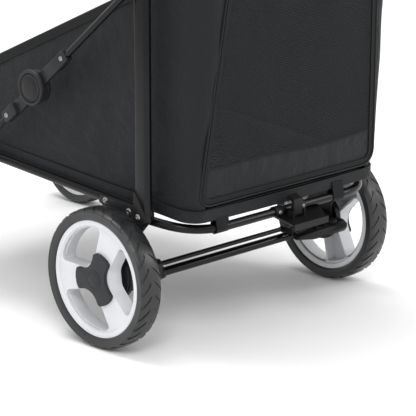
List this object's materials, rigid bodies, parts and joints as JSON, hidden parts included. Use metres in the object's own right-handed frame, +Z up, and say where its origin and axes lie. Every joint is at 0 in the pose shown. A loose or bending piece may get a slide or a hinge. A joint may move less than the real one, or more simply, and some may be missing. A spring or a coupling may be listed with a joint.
{
  "type": "pet stroller",
  "caption": "Folding pet stroller: fabric cabin with hood, mesh cover and zip door on a black tube frame with swivel front casters and braked rear wheels.",
  "frame": {"origin": "middle of the bounding box's bottom face, on the ground under the stroller", "axes": "+X to the stroller's left, +Y to its rear (handle side), +Z up; it rolls forward along -Y"},
  "size_m": [0.668, 1.074, 1.045],
  "materials": {
    "tube_black": "black powder coat, satin",
    "plastic_black": "fine moulded grain",
    "rim_white": "light grey-white moulding, satin",
    "tyre_black": "matt, tread blocks",
    "cap_grey": "dark grey satin moulding",
    "cabin_fabric": "woven polyester, charcoal",
    "mesh_fabric": "breathable mesh over fabric",
    "grip_foam": "foam sleeve",
    "cushion_fabric": "soft woven pad cover",
    "trim_binding": "binding tape, zip tape and webbing",
    "rivet_metal": "bright rivet heads and zip pulls"
  },
  "bodies": {
    "frame": {"rear_u_tube": "tube_black", "side_tube_left": "tube_black", "side_tube_right": "tube_black", "front_cross_tube": "tube_black", "gusset_plate_left": "plastic_black", "gusset_plate_right": "plastic_black", "axle_tube": "tube_black", "axle_housing_left": "plastic_black", "axle_housing_right": "plastic_black", "caster_bracket_left": "plastic_black", "caster_bracket_right": "plastic_black", "latch_plate": "plastic_black", "strut_foot_left": "plastic_black", "strut_foot_right": "plastic_black", "floor_board": "plastic_black", "cushion": "cushion_fabric", "cabin_side_left": "cabin_fabric", "cabin_side_right": "cabin_fabric", "cabin_rear": "cabin_fabric", "cabin_front": "cabin_fabric", "front_mesh_cover": "mesh_fabric", "hood_rear": "cabin_fabric", "hood_canopy": "cabin_fabric"},
    "handle": {"upright_left": "tube_black", "upright_right": "tube_black", "handle_bar": "tube_black", "handle_grip": "grip_foam"},
    "brake": {"brake_rod": "tube_black", "brake_pedal": "plastic_black"},
    "latch_hook": {"latch_hook": "plastic_black"},
    "hood_bow": {"hood_bow": "cabin_fabric"},
    "rear_door": {"rear_door": "mesh_fabric"},
    "strut_lower_left": {"strut_lower_left": "tube_black", "elbow_lower_left": "plastic_black"},
    "strut_upper_left": {"strut_upper_left": "tube_black", "elbow_upper_left": "plastic_black"},
    "knob_button_left": {"knob_button_left": "cap_grey"},
    "rear_wheel_left": {"rear_left_tyre": "tyre_black", "rear_left_rim": "rim_white", "rear_left_hubcap": "cap_grey", "rear_left_brake_ring": "plastic_black"},
    "caster_left": {"caster_fork_left": "plastic_black"},
    "front_wheel_left": {"front_left_tyre": "tyre_black", "front_left_rim": "rim_white", "front_left_hubcap": "cap_grey"},
    "swivel_lock_left": {"swivel_lock_left": "cap_grey"},
    "strut_lower_right": {"strut_lower_right": "tube_black", "elbow_lower_right": "plastic_black"},
    "strut_upper_right": {"strut_upper_right": "tube_black", "elbow_upper_right": "plastic_black"},
    "knob_button_right": {"knob_button_right": "cap_grey"},
    "rear_wheel_right": {"rear_right_tyre": "tyre_black", "rear_right_rim": "rim_white", "rear_right_hubcap": "cap_grey", "rear_right_brake_ring": "plastic_black"},
    "caster_right": {"caster_fork_right": "plastic_black"},
    "front_wheel_right": {"front_right_tyre": "tyre_black", "front_right_rim": "rim_white", "front_right_hubcap": "cap_grey"},
    "swivel_lock_right": {"swivel_lock_right": "cap_grey"}
  },
  "joints": [
    {"name": "fold", "type": "hinge", "parent": "frame", "child": "handle", "pos_m": [0, 0.36, 0.254], "axis": [1, 0, 0], "range_deg": [0, 80], "deforming": ["cabin_side_left", "cabin_side_right", "cabin_rear", "cabin_front", "front_mesh_cover", "hood_rear", "cushion"]},
    {"name": "strut_lower_left_swing", "type": "hinge", "parent": "frame", "child": "strut_lower_left", "pos_m": [0.284, -0.11881, 0.23897], "axis": [1, 0, 0], "range_deg": [0, 92.57]},
    {"name": "strut_upper_left_swing", "type": "hinge", "parent": "strut_lower_left", "child": "strut_upper_left", "pos_m": [0.284, 0.11, 0.433], "axis": [1, 0, 0], "range_deg": [-157.58, 0]},
    {"name": "knob_left_press", "type": "slide", "parent": "strut_upper_left", "child": "knob_button_left", "axis": [-1, 0, 0], "range_m": [0, 0.004], "stiffness_N_per_m": 600, "springref_m": -0.001},
    {"name": "rear_wheel_left_spin", "type": "hinge", "parent": "frame", "child": "rear_wheel_left", "pos_m": [0.2915, 0.287, 0.125], "axis": [1, 0, 0], "continuous": true},
    {"name": "caster_left_swivel", "type": "hinge", "parent": "frame", "child": "caster_left", "pos_m": [0.306, -0.482, 0.214], "axis": [0, 0, 1], "continuous": true},
    {"name": "front_wheel_left_spin", "type": "hinge", "parent": "caster_left", "child": "front_wheel_left", "pos_m": [0.306, -0.437, 0.1], "axis": [1, 0, 0], "continuous": true},
    {"name": "swivel_lock_left_flip", "type": "hinge", "parent": "frame", "child": "swivel_lock_left", "pos_m": [0.306, -0.505, 0.254], "axis": [1, 0, 0], "range_deg": [-50, 0]},
    {"name": "strut_lower_right_swing", "type": "hinge", "parent": "frame", "child": "strut_lower_right", "pos_m": [-0.284, -0.11881, 0.23897], "axis": [1, 0, 0], "range_deg": [0, 92.57]},
    {"name": "strut_upper_right_swing", "type": "hinge", "parent": "strut_lower_right", "child": "strut_upper_right", "pos_m": [-0.284, 0.11, 0.433], "axis": [1, 0, 0], "range_deg": [-157.58, 0]},
    {"name": "knob_right_press", "type": "slide", "parent": "strut_upper_right", "child": "knob_button_right", "axis": [1, 0, 0], "range_m": [0, 0.004], "stiffness_N_per_m": 600, "springref_m": -0.001},
    {"name": "rear_wheel_right_spin", "type": "hinge", "parent": "frame", "child": "rear_wheel_right", "pos_m": [-0.2915, 0.287, 0.125], "axis": [1, 0, 0], "continuous": true},
    {"name": "caster_right_swivel", "type": "hinge", "parent": "frame", "child": "caster_right", "pos_m": [-0.306, -0.482, 0.214], "axis": [0, 0, 1], "continuous": true},
    {"name": "front_wheel_right_spin", "type": "hinge", "parent": "caster_right", "child": "front_wheel_right", "pos_m": [-0.306, -0.437, 0.1], "axis": [1, 0, 0], "continuous": true},
    {"name": "swivel_lock_right_flip", "type": "hinge", "parent": "frame", "child": "swivel_lock_right", "pos_m": [-0.306, -0.505, 0.254], "axis": [1, 0, 0], "range_deg": [-50, 0]},
    {"name": "hood_swing", "type": "hinge", "parent": "frame", "child": "hood_bow", "pos_m": [0, 0.345, 0.64], "axis": [1, 0, 0], "range_deg": [-52, 0], "deforming": ["hood_canopy"]},
    {"name": "rear_door_swing", "type": "hinge", "parent": "frame", "child": "rear_door", "pos_m": [0, 0.4482, 0.264], "axis": [1, 0, 0], "range_deg": [-90, 0]},
    {"name": "brake_pedal_press", "type": "hinge", "parent": "frame", "child": "brake", "pos_m": [0, 0.307, 0.1285], "axis": [1, 0, 0], "range_deg": [-25, 0]},
    {"name": "latch_hook_swing", "type": "hinge", "parent": "frame", "child": "latch_hook", "pos_m": [0, 0.47, 0.2207], "axis": [1, 0, 0], "range_deg": [-60, 0], "stiffness_Nm_per_rad": 0.03, "springref_deg": 17.19}
  ],
  "couplings": [
    {"joint": "strut_lower_left_swing", "follows": "fold", "ratio": 1.1569},
    {"joint": "strut_upper_left_swing", "follows": "fold", "ratio": -1.9695},
    {"joint": "strut_lower_right_swing", "follows": "fold", "ratio": 1.1569},
    {"joint": "strut_upper_right_swing", "follows": "fold", "ratio": -1.9695}
  ]
}
